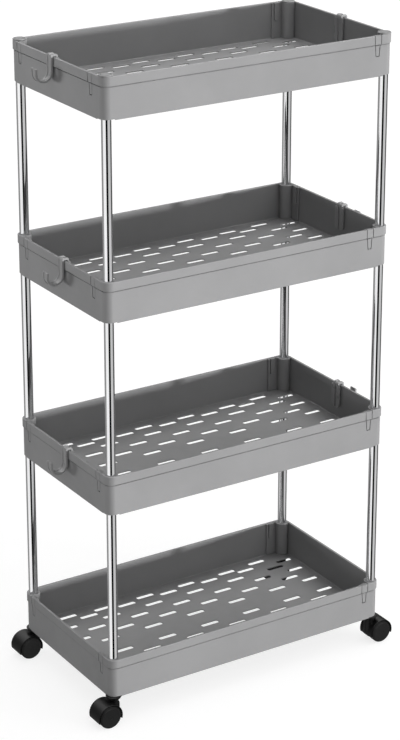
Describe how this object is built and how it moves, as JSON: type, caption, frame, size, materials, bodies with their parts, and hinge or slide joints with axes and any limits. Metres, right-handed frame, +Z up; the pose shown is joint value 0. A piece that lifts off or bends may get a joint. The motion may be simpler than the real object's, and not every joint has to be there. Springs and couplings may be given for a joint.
{
  "type": "rolling storage cart",
  "caption": "Slim rolling storage cart with deep slotted trays on chrome corner tubes, hooks hung over the end rims and twin-wheel swivel casters.",
  "frame": {"origin": "on the ground, under the middle of the cart", "axes": "+Z up, +X along the trays' long side to the right, +Y from the front wall to the back wall"},
  "size_m": [0.4472, 0.2278, 0.8104],
  "materials": {
    "grey_plastic": "fine satin grain",
    "chrome_tube": "polished",
    "black_plastic": "satin",
    "black_wheel": "satin"
  },
  "bodies": {
    "frame": {"bottom_tray": "grey_plastic", "bottom_tray_sleeve_front_left": "grey_plastic", "bottom_tray_sleeve_front_right": "grey_plastic", "bottom_tray_sleeve_back_left": "grey_plastic", "bottom_tray_sleeve_back_right": "grey_plastic", "lower_tray": "grey_plastic", "lower_tray_sleeve_front_left": "grey_plastic", "lower_tray_sleeve_front_right": "grey_plastic", "lower_tray_sleeve_back_left": "grey_plastic", "lower_tray_sleeve_back_right": "grey_plastic", "upper_tray": "grey_plastic", "upper_tray_sleeve_front_left": "grey_plastic", "upper_tray_sleeve_front_right": "grey_plastic", "upper_tray_sleeve_back_left": "grey_plastic", "upper_tray_sleeve_back_right": "grey_plastic", "top_tray": "grey_plastic", "top_tray_sleeve_front_left": "grey_plastic", "top_tray_sleeve_front_right": "grey_plastic", "top_tray_sleeve_back_left": "grey_plastic", "top_tray_sleeve_back_right": "grey_plastic", "bottom_tube_front_left": "chrome_tube", "bottom_tube_front_right": "chrome_tube", "bottom_tube_back_left": "chrome_tube", "bottom_tube_back_right": "chrome_tube", "middle_tube_front_left": "chrome_tube", "middle_tube_front_right": "chrome_tube", "middle_tube_back_left": "chrome_tube", "middle_tube_back_right": "chrome_tube", "top_tube_front_left": "chrome_tube", "top_tube_front_right": "chrome_tube", "top_tube_back_left": "chrome_tube", "top_tube_back_right": "chrome_tube", "socket_cap_front_left": "grey_plastic", "socket_cap_front_right": "grey_plastic", "socket_cap_back_left": "grey_plastic", "socket_cap_back_right": "grey_plastic", "caster_front_left_stem": "black_plastic", "caster_front_right_stem": "black_plastic", "caster_back_left_stem": "black_plastic", "caster_back_right_stem": "black_plastic"},
    "caster_front_left": {"caster_front_left_hood": "black_plastic"},
    "caster_front_left_wheel_front": {"caster_front_left_wheel_front": "black_wheel"},
    "caster_front_left_wheel_back": {"caster_front_left_wheel_back": "black_wheel"},
    "caster_front_right": {"caster_front_right_hood": "black_plastic"},
    "caster_front_right_wheel_front": {"caster_front_right_wheel_front": "black_wheel"},
    "caster_front_right_wheel_back": {"caster_front_right_wheel_back": "black_wheel"},
    "caster_back_left": {"caster_back_left_hood": "black_plastic"},
    "caster_back_left_wheel_front": {"caster_back_left_wheel_front": "black_wheel"},
    "caster_back_left_wheel_back": {"caster_back_left_wheel_back": "black_wheel"},
    "caster_back_right": {"caster_back_right_hood": "black_plastic"},
    "caster_back_right_wheel_front": {"caster_back_right_wheel_front": "black_wheel"},
    "caster_back_right_wheel_back": {"caster_back_right_wheel_back": "black_wheel"},
    "lower_tray_hook_left": {"lower_tray_hook_left": "grey_plastic"},
    "lower_tray_hook_right": {"lower_tray_hook_right": "grey_plastic"},
    "upper_tray_hook_left": {"upper_tray_hook_left": "grey_plastic"},
    "upper_tray_hook_right": {"upper_tray_hook_right": "grey_plastic"},
    "top_tray_hook_left": {"top_tray_hook_left": "grey_plastic"},
    "top_tray_hook_right": {"top_tray_hook_right": "grey_plastic"}
  },
  "joints": [
    {"name": "caster_front_left_swivel", "type": "hinge", "parent": "frame", "child": "caster_front_left", "pos_m": [-0.191, -0.101, 0.033], "axis": [0, 0, 1], "continuous": true},
    {"name": "caster_front_left_wheel_front_spin", "type": "hinge", "parent": "caster_front_left", "child": "caster_front_left_wheel_front", "pos_m": [-0.202, -0.10925, 0.01442], "axis": [0, 1, 0], "continuous": true},
    {"name": "caster_front_left_wheel_back_spin", "type": "hinge", "parent": "caster_front_left", "child": "caster_front_left_wheel_back", "pos_m": [-0.202, -0.09275, 0.01442], "axis": [0, 1, 0], "continuous": true},
    {"name": "caster_front_right_swivel", "type": "hinge", "parent": "frame", "child": "caster_front_right", "pos_m": [0.191, -0.101, 0.033], "axis": [0, 0, 1], "continuous": true},
    {"name": "caster_front_right_wheel_front_spin", "type": "hinge", "parent": "caster_front_right", "child": "caster_front_right_wheel_front", "pos_m": [0.202, -0.10925, 0.01442], "axis": [0, 1, 0], "continuous": true},
    {"name": "caster_front_right_wheel_back_spin", "type": "hinge", "parent": "caster_front_right", "child": "caster_front_right_wheel_back", "pos_m": [0.202, -0.09275, 0.01442], "axis": [0, 1, 0], "continuous": true},
    {"name": "caster_back_left_swivel", "type": "hinge", "parent": "frame", "child": "caster_back_left", "pos_m": [-0.191, 0.101, 0.033], "axis": [0, 0, 1], "continuous": true},
    {"name": "caster_back_left_wheel_front_spin", "type": "hinge", "parent": "caster_back_left", "child": "caster_back_left_wheel_front", "pos_m": [-0.202, 0.09275, 0.01442], "axis": [0, 1, 0], "continuous": true},
    {"name": "caster_back_left_wheel_back_spin", "type": "hinge", "parent": "caster_back_left", "child": "caster_back_left_wheel_back", "pos_m": [-0.202, 0.10925, 0.01442], "axis": [0, 1, 0], "continuous": true},
    {"name": "caster_back_right_swivel", "type": "hinge", "parent": "frame", "child": "caster_back_right", "pos_m": [0.191, 0.101, 0.033], "axis": [0, 0, 1], "continuous": true},
    {"name": "caster_back_right_wheel_front_spin", "type": "hinge", "parent": "caster_back_right", "child": "caster_back_right_wheel_front", "pos_m": [0.18, 0.09275, 0.01442], "axis": [0, 1, 0], "continuous": true},
    {"name": "caster_back_right_wheel_back_spin", "type": "hinge", "parent": "caster_back_right", "child": "caster_back_right_wheel_back", "pos_m": [0.18, 0.10925, 0.01442], "axis": [0, 1, 0], "continuous": true},
    {"name": "lower_tray_hook_left_lift", "type": "slide", "parent": "frame", "child": "lower_tray_hook_left", "axis": [0, 0, 1], "range_m": [0, 0.045]},
    {"name": "lower_tray_hook_right_lift", "type": "slide", "parent": "frame", "child": "lower_tray_hook_right", "axis": [0, 0, 1], "range_m": [0, 0.045]},
    {"name": "upper_tray_hook_left_lift", "type": "slide", "parent": "frame", "child": "upper_tray_hook_left", "axis": [0, 0, 1], "range_m": [0, 0.045]},
    {"name": "upper_tray_hook_right_lift", "type": "slide", "parent": "frame", "child": "upper_tray_hook_right", "axis": [0, 0, 1], "range_m": [0, 0.045]},
    {"name": "top_tray_hook_left_lift", "type": "slide", "parent": "frame", "child": "top_tray_hook_left", "axis": [0, 0, 1], "range_m": [0, 0.045]},
    {"name": "top_tray_hook_right_lift", "type": "slide", "parent": "frame", "child": "top_tray_hook_right", "axis": [0, 0, 1], "range_m": [0, 0.045]}
  ]
}
